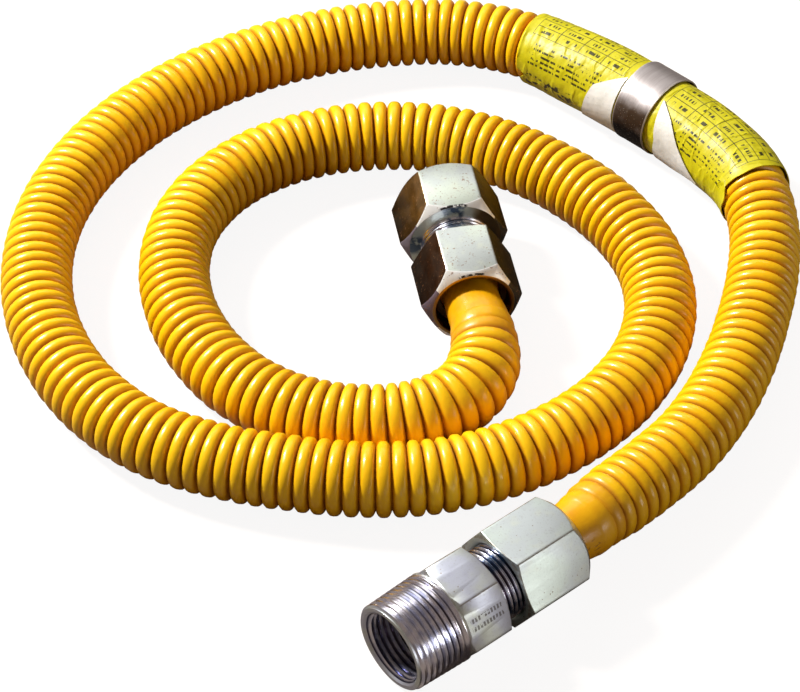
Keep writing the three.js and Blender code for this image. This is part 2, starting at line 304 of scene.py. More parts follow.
def as_object(bm, name):
    mesh = bpy.data.meshes.new(name)
    bm.to_mesh(mesh)
    bm.free()
    obj = bpy.data.objects.new(name, mesh)
    bpy.context.scene.collection.objects.link(obj)
    return obj


def combined(base, joined, cut):
    """One closed form from a base, the forms joined to it and the forms cut from it."""
    target = as_object(base, "base")
    tools = []
    for operation, forms in (("UNION", joined), ("DIFFERENCE", cut)):
        for form in forms:
            tool = as_object(form, "tool")
            tools.append(tool)
            modifier = target.modifiers.new("shape", "BOOLEAN")
            modifier.operation, modifier.object, modifier.solver = operation, tool, "MANIFOLD"
    graph = bpy.context.evaluated_depsgraph_get()
    mesh = bpy.data.meshes.new_from_object(target.evaluated_get(graph))
    bm = bmesh.new()
    bm.from_mesh(mesh)
    for obj in (target, *tools):
        bpy.data.objects.remove(obj)
    bpy.data.meshes.remove(mesh)
    return bm


def piece(name, bm, body, finish, placing, stands_for=()):
    """Closes a form, keeps its straight coordinates for its finish, and puts it in place on its body."""
    bmesh.ops.remove_doubles(bm, verts=bm.verts, dist=WELD)
    bmesh.ops.recalc_face_normals(bm, faces=bm.faces)
    for face in bm.faces:
        face.smooth = True
    for edge in bm.edges:
        edge.smooth = edge.calc_face_angle(0) < SHARP
    obj = as_object(bm, name)
    mesh = obj.data
    points = np.empty(3 * len(mesh.vertices))
    mesh.vertices.foreach_get("co", points)
    mesh.attributes.new("straight", "FLOAT_VECTOR", "POINT").data.foreach_set("vector", points)
    mesh.vertices.foreach_set("co", placing(points.reshape(-1, 3)).ravel())
    mesh.update()
    mesh.materials.append(finish.material)
    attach(obj, body)
    if stands_for:
        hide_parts(*stands_for)
    return obj


# ---------------------------------------------------------------- finishes

# sockets of a Mix node that mixes colours
MIX_SHARE, MIX_A, MIX_B, MIX_RESULT = 0, 6, 7, 2
# share of a spot's size that is at full strength
SPOT_CORE = 0.55


class Field:
    """A shader value. Plain Python arithmetic on it adds Math nodes."""

    def __init__(self, finish, socket):
        self.finish, self.socket = finish, socket

    def maths(self, operation, *values):
        return self.finish.node("ShaderNodeMath", {"operation": operation}, dict(enumerate(values)))

    def __add__(self, other):
        return self.maths("ADD", self, other)

    def __radd__(self, other):
        return self.maths("ADD", other, self)

    def __sub__(self, other):
        return self.maths("SUBTRACT", self, other)

    def __rsub__(self, other):
        return self.maths("SUBTRACT", other, self)

    def __mul__(self, other):
        return self.maths("MULTIPLY", self, other)

    def __rmul__(self, other):
        return self.maths("MULTIPLY", other, self)

    def __truediv__(self, other):
        return self.maths("DIVIDE", self, other)

    def __rtruediv__(self, other):
        return self.maths("DIVIDE", other, self)

    def __pow__(self, other):
        return self.maths("POWER", self, other)

    def __mod__(self, other):
        return self.maths("FLOORED_MODULO", self, other)

    def __neg__(self):
        return self.maths("MULTIPLY", self, -1.0)

    def __abs__(self):
        return self.maths("ABSOLUTE", self)

    def over(self, low, high):
        """0 up to low and 1 from high on, with a smooth change between them. With high below low it falls."""
        falls = high < low
        if falls:
            low, high = high, low
        rise = self.finish.node(
            "ShaderNodeMapRange",
            {"interpolation_type": "SMOOTHSTEP"},
            {"Value": self, "From Min": low, "From Max": high, "To Min": 0.0, "To Max": 1.0},
        )
        return 1 - rise if falls else rise

    def between(self, low, high, soft):
        """1 from low to high, and 0 from soft beyond them."""
        return self.over(low - soft, low) * self.over(high + soft, high)

    def larger(self, other):
        return self.maths("MAXIMUM", self, other)


class Finish:
    """A node material for one finish. What changes over the surface is written as expressions."""

    def __init__(self, name, roughness=0.5, metallic=0.0, coat=0.0, coat_roughness=0.1, specular=0.5):
        self.material = bpy.data.materials.new(name)
        self.material.use_nodes = True
        self.tree = self.material.node_tree
        self.shader = self.tree.nodes["Principled BSDF"]
        for socket, value in (
            ("Roughness", roughness),
            ("Metallic", metallic),
            ("Coat Weight", coat),
            ("Coat Roughness", coat_roughness),
            ("Specular IOR Level", specular),
        ):
            self.shader.inputs[socket].default_value = value
        place = self.tree.nodes.new("ShaderNodeAttribute")
        place.attribute_name = "straight"
        self.place = Field(self, place.outputs["Vector"])
        parts = self.tree.nodes.new("ShaderNodeSeparateXYZ")
        self.tree.links.new(place.outputs["Vector"], parts.inputs[0])
        self.left, self.above, self.run = (Field(self, s) for s in parts.outputs)
        self.radius = (self.left * self.left + self.above * self.above) ** 0.5

    def node(self, kind, settings=None, inputs=None, output=0):
        """A node of any type: its settings are set first, then the values or links of its sockets."""
        made = self.tree.nodes.new(kind)
        for name, value in (settings or {}).items():
            setattr(made, name, value)
        for key, value in (inputs or {}).items():
            socket = made.inputs[key]
            if isinstance(value, Field):
                self.tree.links.new(value.socket, socket)
            elif isinstance(value, tuple) and socket.type == "RGBA":
                socket.default_value = (*value, 1.0)
            else:
                socket.default_value = value
        return Field(self, made.outputs[output])

    def noise(self, scale, detail=3.0, stretch=(1, 1, 1), shift=(0, 0, 0)):
        """Noise from 0 to 1 with that many millimetres to a blotch."""
        narrowed = tuple(1 / k for k in stretch)
        spread = self.node("ShaderNodeMapping", {}, {"Vector": self.place, "Scale": narrowed, "Location": shift})
        return self.node(
            "ShaderNodeTexNoise",
            {"noise_dimensions": "3D"},
            {"Vector": spread, "Scale": 1 / scale, "Detail": detail},
        )

    def specks(self, scale, size):
        """Small spots, 1 inside a spot. size is a share of their spacing."""
        sockets = {"Vector": self.place, "Scale": 1 / scale}
        far = self.node("ShaderNodeTexVoronoi", {"feature": "F1"}, sockets, output="Distance")
        return far.over(size, size * SPOT_CORE)

    def mix(self, a, b, share):
        sockets = {MIX_SHARE: share, MIX_A: a, MIX_B: b}
        return self.node("ShaderNodeMix", {"data_type": "RGBA"}, sockets, output=MIX_RESULT)

    def angle(self, x, y):
        """The direction of the point (x, y), in radians."""
        return x.maths("ARCTAN2", y, x)

    def colour(self, value):
        self.set("Base Color", value)

    def set(self, name, value):
        self.tree.links.new(value.socket, self.shader.inputs[name])

    def bump(self, height, depth):
        """height is a field from about 0 to 1, and depth what 1 stands for, in millimetres."""
        normal = self.node("ShaderNodeBump", {}, {"Strength": 1.0, "Distance": depth * MM, "Height": height})
        self.set("Normal", normal)


# colours of the coat
COAT_GOLD = (0.94, 0.51, 0.002)
COAT_BRIGHT = (1.0, 0.58, 0.004)
COAT_AMBER = (0.80, 0.37, 0.003)
COAT_UNDERSIDE_SHADE = (0.66, 0.23, 0.001)
COAT_SHADE_BETWEEN_RIBS = (0.86, 0.35, 0.001)
COAT_GROOVE_SHADE = (0.30, 0.095, 0.002)
COAT_SCUFF = (0.16, 0.06, 0.01)
COAT_SPECK = (0.30, 0.11, 0.01)
COAT_ENDS = (0.72, 0.29, 0.003)
COAT_GRIME = (0.55, 0.24, 0.012)


def coat_finish():
    """Glossy orange-yellow coat, with painted shade: darker and browner between the ribs, and darker and redder
    underneath.
    """
    f = Finish("yellow_coat", roughness=0.28, coat=0.1, coat_roughness=0.08, specular=0.42)
    patches = f.noise(26, 3)
    fine = f.noise(3.2, 4)
    low = f.above.over(3.0, -8.0)
    body = f.mix(COAT_GOLD, COAT_BRIGHT, patches.over(0.35, 0.65))
    body = f.mix(body, COAT_AMBER, fine.over(0.58, 0.78) * 0.35)
    # painted shade: the coat painted darker and redder on its underside
    body = f.mix(body, COAT_UNDERSIDE_SHADE, low * 0.8)
    # painted shade between the ribs: the deeper the coat lies, the redder and then darker brown it is painted
    depth = f.radius.over(10.3, 9.0) * f.run.between(25, HOSE_LENGTH - 25, 4)
    body = f.mix(body, COAT_SHADE_BETWEEN_RIBS, depth * 0.7)
    painted_rib_shade = depth * (0.55 + 0.45 * f.noise(9, 3).over(0.35, 0.6))
    body = f.mix(body, COAT_GROOVE_SHADE, painted_rib_shade * 0.8)
    # scuffs on one side of the first cuff, and specks on the last
    sideways = f.left / f.radius.larger(0.1)
    cuff = f.run.between(13.5, 18, 1.0) * sideways.between(-1.1, -0.93, 0.06)
    scuff = cuff * f.noise(1.1, 4, stretch=(1, 1, 1.8)).over(0.54, 0.62)
    body = f.mix(body, COAT_SCUFF, scuff * 0.85)
    last = f.run.over(HOSE_LENGTH - 40, HOSE_LENGTH - 14)
    body = f.mix(body, COAT_SPECK, last * f.specks(4.2, 0.075) * 0.7)
    ends = f.run.over(34, 12).larger(last)
    body = f.mix(body, COAT_ENDS, ends * (0.55 + 0.3 * f.noise(5, 4).over(0.45, 0.7)))
    grime = f.noise(14, 4, shift=(3, 7, 1)).over(0.62, 0.74)
    body = f.mix(body, COAT_GRIME, grime * 0.22)
    f.colour(body)
    f.set("Roughness", 0.22 + 0.16 * patches + 0.25 * painted_rib_shade + 0.2 * scuff)
    f.bump(f.noise(1.4, 3) * 0.7 + f.noise(5.0, 2) * 0.6 - 0.6 * scuff, 0.10)
    return f


# colours on the plating
GRAIN_GREY = (0.40, 0.40, 0.38)
EDGE_BROWN = (0.28, 0.21, 0.12)
PIT_BROWN = (0.25, 0.15, 0.07)
CREST_HIGHLIGHT_WHITE = (0.95, 0.93, 0.98)
CREST_HIGHLIGHT_LILAC = (0.66, 0.68, 0.82)
GROOVE_SHADE_BLUE = (0.010, 0.014, 0.07)
GROOVE_SHADE_PLUM = (0.05, 0.024, 0.045)
RING_BLUE = (0.06, 0.12, 0.22)
RING_BROWN = (0.13, 0.075, 0.022)
MOUTH_BROWN = (0.34, 0.19, 0.035)
PASSAGE_SHADE = (0.09, 0.045, 0.010)
CORNER_HIGHLIGHT_WHITE = (0.92, 0.92, 0.88)
NOTCH_BLACK = (0.015, 0.012, 0.012)
SHADE_BLACK = (0.003, 0.002, 0.0015)
RUST = (0.30, 0.15, 0.07)
BAR_GREY = (0.12, 0.11, 0.10)


def zinc_finish(name, hexagon, tones, thread_light_and_shade, shaded_sides=(), bars=()):
    """Bright plating, with drawn lines on the flats, turned lines on the ends, brown edges and small marks.

    hexagon gives its sizes and tones its three colours. The next argument gives its threads, with painted
    highlight on their crests and painted shade in their grooves, the one after it its sides of painted shade, and
    bars the rows of marks on its flats.
    """
    f = Finish(name, roughness=0.3, metallic=1.0, specular=0.5)
    back, front, flat = hexagon["back"], hexagon["front"], hexagon["across"] / 2
    face = flat - hexagon.get("back_face", RIM)
    bearing = f.angle(f.above, f.left) * (180 / math.pi)
    off_flat = abs((bearing + 30) % 60.0 - 30.0)
    on_flats = f.radius.over(flat - 0.25, flat + 0.05) * f.run.between(back, front, 0.05)
    mottle = f.noise(4.5, 4)
    cloud = f.noise(13, 3, shift=(5, 1, 9))
    base = f.mix(tones[0], tones[1], cloud.over(0.4, 0.6))
    base = f.mix(base, tones[2], mottle.over(0.5, 0.75) * 0.6)
    grain = f.noise(0.55, 2)
    base = f.mix(base, GRAIN_GREY, grain.over(0.55, 0.75) * 0.3)
    edge = (off_flat.over(28.9, 29.8) * on_flats).larger(f.run.between(back, back + 0.25, 0.2) * on_flats)
    edge = edge.larger(f.run.between(front - 0.25, front, 0.2) * on_flats) * f.noise(1.2, 3).over(0.3, 0.6)
    base = f.mix(base, EDGE_BROWN, edge * 0.55)
    pits = f.specks(1.5, 0.16) * f.noise(7, 3).over(0.5, 0.62)
    base = f.mix(base, PIT_BROWN, pits * 0.75)
    drawn = f.noise(0.7, 3, stretch=(1, 1, 16))
    ringed = f.noise(0.35, 3, stretch=(30, 30, 1))
    # threads: painted highlight, with the crests painted bright white and lilac, and painted shade, with the
    # grooves painted dark blue and plum
    threaded, groove = thread_light_and_shade(f)
    base = f.mix(base, f.mix(CREST_HIGHLIGHT_WHITE, CREST_HIGHLIGHT_LILAC, mottle.over(0.4, 0.6)), threaded)
    base = f.mix(base, f.mix(GROOVE_SHADE_BLUE, GROOVE_SHADE_PLUM, cloud.over(0.4, 0.6)), groove * 0.97)
    # the hexagon's back ring and the stud beside it, with blue and brown tints
    beside = f.run.over(back + 0.3, back + 0.1) * f.run.over(9.0, 9.5)
    blue = abs(bearing - 2).over(19, 9).larger(abs(bearing - 86).over(20, 10))
    blue = blue * f.noise(2.2, 2).over(0.38, 0.56)
    base = f.mix(base, RING_BLUE, beside * blue * 0.85)
    if shaded_sides:
        base = f.mix(base, RING_BROWN, beside * abs(bearing + 72).over(50, 34) * 0.85)
    # the nut's wide mouth at the back, and painted shade in the passage behind it
    rear = min(back, -6)
    base = f.mix(base, MOUTH_BROWN, f.run.over(rear + 0.3, rear + 0.1) * (0.9 + 0.1 * mottle))
    base = f.mix(base, PASSAGE_SHADE, f.radius.over(11.3, 11.1) * f.run.over(-1.0, -3.0) * 0.95)
    rough = 0.30 + 0.14 * mottle + 0.10 * drawn * on_flats - 0.14 * threaded
    on_hexagon = f.radius.over(face - 0.15, face - 0.05) * f.run.between(back, front, 0.05)
    cone = on_hexagon * (f.radius - f.run + back).over(face - 0.35, face - 0.15)
    if shaded_sides:
        # painted highlight: the turned-down corners painted white and made less metallic, so that they show bright
        base = f.mix(base, CORNER_HIGHLIGHT_WHITE, cone)
        f.set("Metallic", 1 - 0.7 * cone)
        notch = abs(bearing - 3).over(19, 15) * f.radius.between(face, face + 0.4, 0.1)
        notch = notch * f.run.over(back + 0.9, back + 0.7)
        base = f.mix(base, NOTCH_BLACK, notch * f.noise(1.1, 3).over(0.36, 0.5))
    # sides of painted shade: black low down, their tint higher up, and a tint of their own on the turned-down
    # corners
    for start, span, tint, depth, cone_tint in shaded_sides:
        side = on_hexagon * ((bearing - start) % 360.0).over(span, span - 1)
        upper = f.above.over(-5, 11) * (0.65 + 0.35 * mottle.over(0.35, 0.65))
        shade = f.mix(SHADE_BLACK, tint, upper)
        shade = f.mix(shade, cone_tint, cone)
        side = side * (1 - cone * (1 - ((bearing - start - 26) % 360.0).over(span - 52, span - 54)))
        blotch = f.noise(4.2, 5, stretch=(1, 1, 2.2), shift=(start, 0, 0)).over(0.38, 0.62)
        base = f.mix(base, shade, side * (depth + (1 - depth) * blotch))
        rough = rough + 0.1 * side
    if shaded_sides:
        rust = on_flats * f.noise(0.8, 4).over(0.60, 0.68) * f.noise(5, 2, shift=(2, 2, 2)).over(0.42, 0.56)
        base = f.mix(base, RUST, rust * 0.7)
    # rows of small plain bars where the real one is stamped
    marks = None
    for centre, low, high, rows in bars:
        across = f.radius * ((bearing - centre + 180) % 360.0 - 180.0) * (math.pi / 180)
        row_at = (across / rows) % 1.0
        cells = row_at.between(0.28, 0.72, 0.06) * ((f.run / 1.05) % 1.0).between(0.2, 0.7, 0.06)
        block = across.between(-rows, rows, 0.02) * f.run.between(low, high, 0.02) * on_flats
        one = cells * block * f.noise(1.3, 1, shift=(centre, 1, 0)).over(0.36, 0.42)
        marks = one if marks is None else marks.larger(one)
    height = 0.5 * drawn * on_flats + 0.35 * ringed * (1 - on_flats) + 0.6 * f.noise(1.6, 3) - 0.7 * pits
    if marks is not None:
        base = f.mix(base, BAR_GREY, marks * 0.75)
        height = height - 2.2 * marks
    f.colour(base)
    f.set("Roughness", rough)
    f.bump(height, 0.03)
    return f


# colours of the film and its print
FILM_LEMON = (0.57, 0.51, 0.003)
FILM_LIGHT = (0.64, 0.57, 0.008)
FILM_WORN = (0.62, 0.53, 0.02)
INK = (0.018, 0.015, 0.006)
TORN_EDGE = (0.02, 0.013, 0.007)
# its print, by run from, to, and arc from, to, at the print's radius: tables with their rows and columns,
# and blocks of dashes with their rows
PRINT_RADIUS = 12.2
TABLES = [(231, 267.5, -5.6, 9.2, 4, 4), (175.5, 213, -6.4, 9.2, 4, 4)]
DASHES = [(236, 265.5, -16.2, -7.9, 5), (174.5, 207, -16.0, -8.0, 5)]


def sleeve_finish():
    """Lemon film printed with a plain table and rows of short dashes."""
    f = Finish("yellow_film", roughness=0.42, coat=0.05, coat_roughness=0.25, specular=0.35)
    around = f.angle(f.above, -f.left) * PRINT_RADIUS
    ink = None
    for low, high, first, last, rows, cols in TABLES:
        inside = f.run.between(low, high, 0.1) * around.between(first, last, 0.1)
        row, col = (around - first) / (last - first) * rows, (f.run - low) / (high - low) * cols
        across = abs((row + 0.5) % 1.0 - 0.5) * ((last - first) / rows)
        along = abs((col + 0.5) % 1.0 - 0.5) * ((high - low) / cols)
        lines = across.over(0.2, 0.09).larger(along.over(0.2, 0.09)) * (0.75 + 0.25 * f.noise(6, 2))
        words = (row % 1.0).between(0.36, 0.64, 0.05) * f.noise(0.7, 0, stretch=(9, 9, 1)).over(0.48, 0.54)
        words = words * along.over(1.6, 1.9)
        one = inside * lines.larger(words * 0.95)
        ink = one if ink is None else ink.larger(one)
    for low, high, first, last, rows in DASHES:
        inside = f.run.between(low, high, 0.1) * around.between(first, last, 0.1)
        row = (around - first) / (last - first) * rows
        words = f.noise(0.6, 0, stretch=(9, 9, 1), shift=(1, 1, low)).over(0.46, 0.52)
        words = (row % 1.0).between(0.3, 0.68, 0.06) * words
        words = words * f.noise(5, 1, stretch=(0.4, 0.4, 1)).over(0.4, 0.44)
        ink = ink.larger(inside * words * 0.97)
    tone = f.noise(11, 3)
    film = f.mix(FILM_LEMON, FILM_LIGHT, tone.over(0.35, 0.65))
    film = f.mix(film, FILM_WORN, f.noise(4, 4, shift=(3, 0, 0)).over(0.6, 0.75) * 0.4)
    film = f.mix(film, INK, ink * 0.98)
    torn = f.run.between(247, 266, 1.5) * around.between(-24.5, -19.8, 0.8)
    torn = torn.larger(f.run.over(175, 171.5) * around.between(6.0, 16.0, 2.0))
    torn = torn * f.noise(1.8, 4, shift=(4, 4, 4)).over(0.5, 0.56)
    film = f.mix(film, TORN_EDGE, torn * 0.95)
    f.colour(film)
    f.set("Roughness", 0.34 + 0.18 * tone)
    crease = abs(f.noise(15, 2, stretch=(1, 1, 0.6)) - 0.5).over(0.06, 0.0)
    f.bump(f.noise(2.4, 3) * 0.45 + f.noise(7, 2, stretch=(1, 1, 0.6)) * 1.3 + crease * 0.6, 0.3)
    return f


# colours of the film's back
BACK_WHITE = (0.88, 0.87, 0.81)
BACK_GREY = (0.76, 0.75, 0.68)
BACK_MARKS = (0.40, 0.38, 0.33)


def fold_finish():
    """The film's white back where its corners are folded over."""
    f = Finish("white_film_back", roughness=0.5, specular=0.4)
    tone = f.noise(5, 4)
    back = f.mix(BACK_WHITE, BACK_GREY, tone.over(0.42, 0.68))
    back = f.mix(back, BACK_MARKS, f.noise(1.2, 4).over(0.62, 0.74) * 0.4)
    f.colour(back)
    f.set("Roughness", 0.42 + 0.2 * tone)
    f.bump(f.noise(1.8, 4), 0.14)
    return f


# colours of the band
STRIP_LIGHT = (0.44, 0.40, 0.385)
STRIP_DARK = (0.38, 0.34, 0.325)
STRIP_LOW_BROWN = (0.07, 0.042, 0.024)
STRIP_SHADE_BLACK = (0.008, 0.005, 0.004)
STRIP_SPECKS = (0.42, 0.36, 0.28)
STRIP_RIMS = (0.66, 0.60, 0.52)


def band_finish():
    """Rolled strip, brushed round the hose, darker brown low down, and painted shade black at the bottom."""
    f = Finish("band_strip", roughness=0.4, metallic=0.85)
    brushed = f.noise(0.4, 3, stretch=(22, 22, 1))
    low = (f.above + 4 * f.noise(4, 3)).over(12.0, 7.5)
    darker_low = low * (0.8 + 0.2 * f.noise(5, 4).over(0.3, 0.6))
    strip = f.mix(STRIP_LIGHT, STRIP_DARK, brushed.over(0.3, 0.7))
    strip = f.mix(strip, STRIP_LOW_BROWN, darker_low)
    # painted shade: the strip painted black at its bottom
    strip = f.mix(strip, STRIP_SHADE_BLACK, (f.above + 4 * f.noise(3, 4)).over(4.0, 0.0))
    strip = f.mix(strip, STRIP_SPECKS, f.specks(0.7, 0.2) * low * 0.7)
    rims = f.run.between(BAND_FROM - 0.1, BAND_FROM + 0.4, 0.2)
    rims = rims.larger(f.run.between(BAND_TO - 0.4, BAND_TO + 0.1, 0.2))
    strip = f.mix(strip, STRIP_RIMS, rims * 0.5)
    f.colour(strip)
    f.set("Roughness", 0.42 + 0.1 * brushed + 0.15 * darker_low)
    f.bump(brushed * 0.5 + f.noise(1.3, 3) * 0.6, 0.03)
    return f


# ---------------------------------------------------------------- the coated hose

RIB_PITCH = 4.3
RIB_CREST, RIB_DEPTH, RIB_ROUNDNESS = 10.62, 2.1, 3.4
LOWEST_CREST = 8.55
RIB_SHAPE = (-1.0, -0.95, -0.86, -0.7, -0.42, 0.0, 0.42, 0.7, 0.86, 0.95)
# how many ribs grow out of a cuff, and how uneven the ribs are
FADING_RIBS = 5
UNEVEN = 0.05
CUFF_LENGTH = 18.5
BORE, BORE_MOUTH, BORE_STATIONS = 7.25, 9.35, 230
SIDES = 28
# radius and run of each flared lip with its smooth cuff
FIRST_CUFF = [
    (9.9, 0.0), (10.1, 0.2), (10.1, 0.65), (9.95, 0.85), (8.5, 2.3), (8.2, 2.9), (8.15, 5), (8.2, 9),
    (8.35, 12), (8.6, 15),
]
LAST_CUFF = [
    (8.9, 0.0), (8.6, 3.5), (8.35, 6.5), (8.2, 9.5), (8.15, 13.5), (8.2, 15.6), (8.5, 16.2), (9.95, 17.65),
    (10.1, 17.85), (10.1, 18.3), (9.9, 18.5),
]
rng = np.random.default_rng(7)


def hose_profile():
    """Radius and run of the outside, lip to lip, then of the bore on the way back."""
    ribs = round((HOSE_LENGTH - 2 * CUFF_LENGTH) / RIB_PITCH)
    pitch = (HOSE_LENGTH - 2 * CUFF_LENGTH) / ribs
    outer = list(FIRST_CUFF)
    for i in range(ribs):
        from_end = min(i, ribs - 1 - i)
        grown = min((from_end + 2) / FADING_RIBS, 1)
        crest = LOWEST_CREST + (RIB_CREST - LOWEST_CREST) * grown + rng.uniform(-UNEVEN, UNEVEN)
        depth = RIB_DEPTH * min((from_end + 0.7) / FADING_RIBS, 1)
        start = CUFF_LENGTH + i * pitch
        drift = UNEVEN * math.sin(i * 1.7)
        for x in RIB_SHAPE:
            outer.append((crest - depth * abs(x) ** RIB_ROUNDNESS, start + (x + 1) / 2 * pitch + drift))
    outer += [(r, HOSE_LENGTH - CUFF_LENGTH + z) for r, z in LAST_CUFF]
    deep = BORE_MOUTH - BORE
    stations = np.linspace(deep, HOSE_LENGTH - deep, BORE_STATIONS)[::-1]
    inner = [(BORE_MOUTH, HOSE_LENGTH)] + [(BORE, s) for s in stations] + [(BORE_MOUTH, 0.0)]
    return outer + inner


def coated_hose():
    bm = bmesh.new()
    spin_round(bm, [bm.verts.new((r, 0, s)) for r, s in hose_profile()], SIDES, closed=True)
    return piece("coated_hose", bm, "hose_body", coat_finish(), along_hose, ["corrugated_hose"])


# ---------------------------------------------------------------- fittings

# hexagons: width across flats, the heights of their faces, and how far their corners are turned down
NUT = dict(across=26.0, front=11.45, back_chamfer=2.9, front_chamfer=0.7, back_face=0.85)
MALE_NUT = dict(NUT, back=-11.2)
FEMALE_NUT = dict(NUT, back=-9.35)
MALE_HEX = dict(across=25.4, back=17.35, front=31.55, back_chamfer=1.1, front_chamfer=1.1)
FEMALE_HEX = dict(across=28.3, back=18.85, front=38.65, back_chamfer=2.4, front_chamfer=2.4)
# how far the outer fittings are turned from flats level, in degrees
MALE_NUT_TURN, MALE_HEX_TURN = -2, -5
FLARE_PITCH = 1.5875
# the pipe thread: its pitch, its end, its radius beside the hexagon and how much it narrows
PIPE_PITCH = 1.814
PIPE_TIP = 47.75
PIPE_CREST, PIPE_NARROWS = 13.25, 0.55
STUD_CREST, STUD_NOSE, NOSE_RADIUS = 10.62, -0.5, 6.4
PASSAGE = 5.4


def flare_nut(name, hexagon, body, finish, placing, node):
    front, back = hexagon["front"], hexagon["back"]
    # the threaded recess from its mouth to its cone, the waist behind the lip, and the wide mouth at the back
    inside = [
        (11.85, front), (10.85, front - 0.95), (10.8, -0.55), (8.8, -2.55), (8.8, -4.05),
        (10.75, -4.2), (10.9, -4.6), (10.9, back + 0.4), (11.15, back),
    ]
    rows = hex_rows(**hexagon) + [round_row(r, z) for r, z in inside]
    bm = ring_columns(HEX_COLUMNS, softened(rows, BROKEN_EDGE, True), True)
    return piece(name, bm, body, finish, placing, [node])


def hex_block(hexagon):
    return ring_columns(HEX_COLUMNS, softened(hex_rows(**hexagon), BROKEN_EDGE, False), False)


def flare_stud(hex_back):
    """The stud that the nut grips: a cone at its nose, then threads that run out before the hexagon."""
    def run_out(z):
        return max(0.0, min(STUD_CREST, 9.0 + (z - (hex_back - 1.2)) * 1.4)) if z > hex_back - 2 else 0.0

    return thread_rod(
        STUD_CREST, 0.95, FLARE_PITCH, STUD_NOSE, hex_back + 0.6,
        lowest=run_out, highest=lambda z: NOSE_RADIUS + max(z - STUD_NOSE, 0.0),
    )


def tapped_bore(face, root, deep, chamfer, mouth, tapped, past):
    """What is cut from an adapter: its passage, its bore with a turned mouth, and the bore's threads.

    deep, chamfer and tapped are measured inwards from the end face, and past outwards.
    """
    bore = turned([
        (0, -2), (PASSAGE, -2), (PASSAGE, face - deep), (root, face - deep + 2), (root, face - chamfer),
        (mouth, face + 1), (0, face + 1),
    ])
    threads = thread_rod(
        root + 0.85, 1.1, PIPE_PITCH, face - tapped, face + past,
        lowest=lambda z: root - 0.3, highest=lambda z: root - 0.2 + max(0.0, z - face + tapped) * 0.6,
    )
    return [bore, threads]


def male_adapter():
    hex_front = MALE_HEX["front"]

    def taper(z):
        return PIPE_CREST - (z - hex_front) / (PIPE_TIP - hex_front) * PIPE_NARROWS

    pipe = thread_rod(
        PIPE_CREST + 0.05, 1.2, PIPE_PITCH, hex_front - 0.8, PIPE_TIP,
        lowest=lambda z: 12.05 - (z - hex_front) * 0.03 + max(0.0, hex_front + 2.0 - z) * 0.45,
        highest=lambda z: min(taper(z), 12.1 + (PIPE_TIP - z)),
    )
    bore = tapped_bore(PIPE_TIP, root=9.5, deep=16, chamfer=1.5, mouth=12.0, tapped=13.2, past=0.7)
    bm = combined(hex_block(MALE_HEX), [flare_stud(MALE_HEX["back"]), pipe], bore)
    placing = about_end(MALE_LIP, MALE_HEADING, MALE_HEX_TURN)
    return piece("male_fitting_plated", bm, "male_fitting", MALE_ZINC, placing, ["male_adapter"])


def female_adapter():
    bore = tapped_bore(FEMALE_HEX["front"], root=9.6, deep=17.8, chamfer=1.3, mouth=11.9, tapped=14, past=0.8)
    bm = combined(hex_block(FEMALE_HEX), [flare_stud(FEMALE_HEX["back"])], bore)
    placing = about_end(FEMALE_LIP, FEMALE_HEADING)
    return piece("female_fitting_plated", bm, "female_fitting", FEMALE_ZINC, placing, ["female_adapter"])


def stud_grooves(hex_back):
    """Where the threads next to the nut are, and the painted shade in their grooves."""
    def shade(f):
        threaded = f.radius.over(10.75, 10.65) * f.run.between(9.0, hex_back - 0.2, 0.3)
        return threaded, threaded * f.radius.over(10.45, 9.85)

    return shade


def male_grooves(f):
    """The same for the outer adapter, with its pipe thread and its tapped bore."""
    run = f.run
    straight = f.radius + (run - MALE_HEX["front"]) * 0.034
    pipe = run.between(MALE_HEX["front"] + 0.2, PIPE_TIP - 0.7, 0.3) * straight.over(11.6, 11.8)
    tapped = f.radius.over(10.5, 10.4) * run.over(33, 34)
    stud, stud_groove = stud_grooves(MALE_HEX["back"])(f)
    groove = (pipe * straight.over(12.7, 12.2)).larger(tapped * f.radius.over(9.8, 10.3))
    return stud.larger(pipe).larger(tapped), groove.larger(stud_groove)


# a height that no fitting reaches
BEYOND_ALL = 900


def no_grooves(f):
    nowhere = f.run.over(BEYOND_ALL, BEYOND_ALL + 1)
    return nowhere, nowhere


# rows of small bars on a flat: the bearing of their middle, run from, to, and the height of a row
BARS = [(60, 19.2, 29.6, 2.4)]
LILAC = ((0.61, 0.64, 0.73), (0.66, 0.70, 0.63), (0.52, 0.53, 0.66))
COOL = ((0.71, 0.80, 0.74), (0.66, 0.72, 0.72), (0.74, 0.79, 0.70))
PALE = ((0.71, 0.78, 0.67), (0.63, 0.68, 0.65), (0.74, 0.78, 0.66))
# painted shade on two sides, brown on the left and black on the right: bearing where it starts, its span, its
# tint, how even it is, and its tint on the turned corners
HEX_SHADED_SIDES = [
    (30, 120, (0.16, 0.08, 0.018), 0.97, (0.20, 0.17, 0.20)),
    (210, 120, (0.03, 0.019, 0.006), 0.99, (0.006, 0.005, 0.004)),
]
NUT_SHADED_SIDES = [
    (30, 120, (0.06, 0.025, 0.010), 0.98, (0.17, 0.13, 0.17)),
    (210, 120, (0.012, 0.008, 0.005), 0.99, (0.006, 0.005, 0.004)),
]
MALE_ZINC = zinc_finish("zinc_outer_hex", MALE_HEX, LILAC, male_grooves, bars=BARS)
FEMALE_ZINC = zinc_finish("zinc_inner_hex", FEMALE_HEX, PALE, stud_grooves(FEMALE_HEX["back"]), shaded_sides=HEX_SHADED_SIDES)
MALE_NUT_ZINC = zinc_finish("zinc_outer_nut", MALE_NUT, COOL, no_grooves)
FEMALE_NUT_ZINC = zinc_finish("zinc_inner_nut", FEMALE_NUT, PALE, no_grooves, shaded_sides=NUT_SHADED_SIDES)


# ---------------------------------------------------------------- the sleeve, its folded corners and the band

